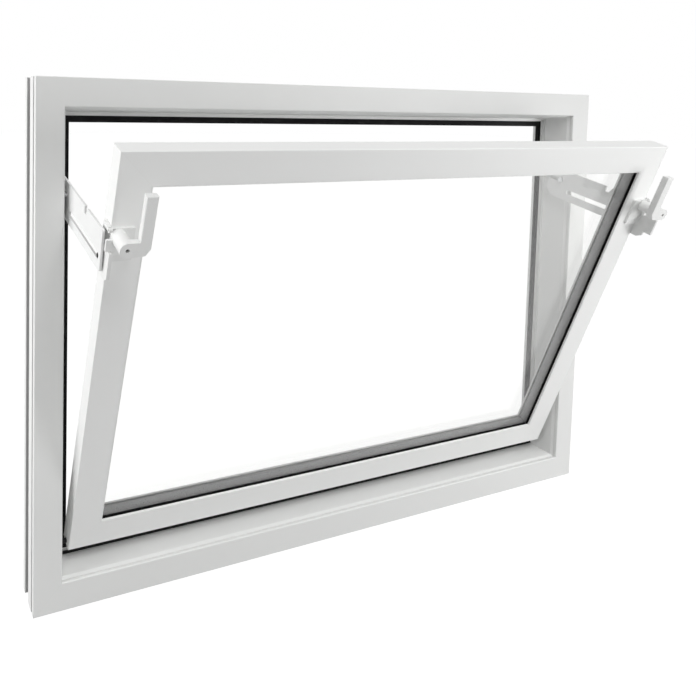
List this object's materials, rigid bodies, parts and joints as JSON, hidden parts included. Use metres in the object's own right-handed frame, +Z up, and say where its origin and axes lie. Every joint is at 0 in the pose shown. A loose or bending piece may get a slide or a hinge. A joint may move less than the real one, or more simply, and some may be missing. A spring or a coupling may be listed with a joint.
{
  "type": "tilt window",
  "caption": "Bottom-hinged plastic window with double glazing, tilted open into the room on slotted side stays, with a turning lever at each side.",
  "frame": {"origin": "centre of the flat fixing land under the frame's bottom member, where the window stands on its sill", "axes": "+X to the right seen from the room, +Y from the room to the outdoors, +Z up"},
  "size_m": [0.8, 0.2061, 0.56],
  "materials": {
    "black_rubber": "matt black sealing rubber",
    "clear_glass": "clear float glass",
    "dark_steel": "dark plated steel",
    "spacer_metal": "dull mill finish",
    "white_bead": "satin white extruded plastic",
    "white_bracket": "satin white moulded plastic",
    "white_lever": "satin white moulded plastic",
    "white_profile": "satin white extruded plastic",
    "white_stay": "satin white moulded plastic",
    "zinc_steel": "zinc plated steel"
  },
  "bodies": {
    "window": {"frame_bottom": "white_profile", "frame_left": "white_profile", "frame_right": "white_profile", "frame_seal_bottom": "black_rubber", "frame_seal_left": "black_rubber", "frame_seal_right": "black_rubber", "frame_seal_top": "black_rubber", "frame_top": "white_profile", "glass_inner": "clear_glass", "glass_outer": "clear_glass", "glass_spacer": "spacer_metal", "glazing_bead_bottom": "white_bead", "glazing_bead_left": "white_bead", "glazing_bead_right": "white_bead", "glazing_bead_top": "white_bead", "glazing_gasket_bottom": "black_rubber", "glazing_gasket_left": "black_rubber", "glazing_gasket_right": "black_rubber", "glazing_gasket_top": "black_rubber", "handle_bracket_left": "white_bracket", "handle_bracket_right": "white_bracket", "hinge_bush_left": "zinc_steel", "hinge_bush_right": "zinc_steel", "hinge_pin_left": "zinc_steel", "hinge_pin_right": "zinc_steel", "lever_screw_left": "dark_steel", "lever_screw_right": "dark_steel", "sash_bottom": "white_profile", "sash_left": "white_profile", "sash_right": "white_profile", "sash_top": "white_profile", "stay_left": "white_stay", "stay_pin_left": "dark_steel", "stay_pin_right": "dark_steel", "stay_pivot_left": "zinc_steel", "stay_pivot_right": "zinc_steel", "stay_right": "white_stay"},
    "lever_left": {"lever_left": "white_lever"},
    "lever_right": {"lever_right": "white_lever"}
  },
  "joints": [
    {"name": "lever_left_turn", "type": "hinge", "parent": "window", "child": "lever_left", "pos_m": [-0.35105, -0.15525, 0.40862], "axis": [0, 0.9426, 0.3338], "range_deg": [0, 90]},
    {"name": "lever_right_turn", "type": "hinge", "parent": "window", "child": "lever_right", "pos_m": [0.35105, -0.15525, 0.40862], "axis": [0, -0.9426, -0.3338], "range_deg": [0, 90]}
  ]
}
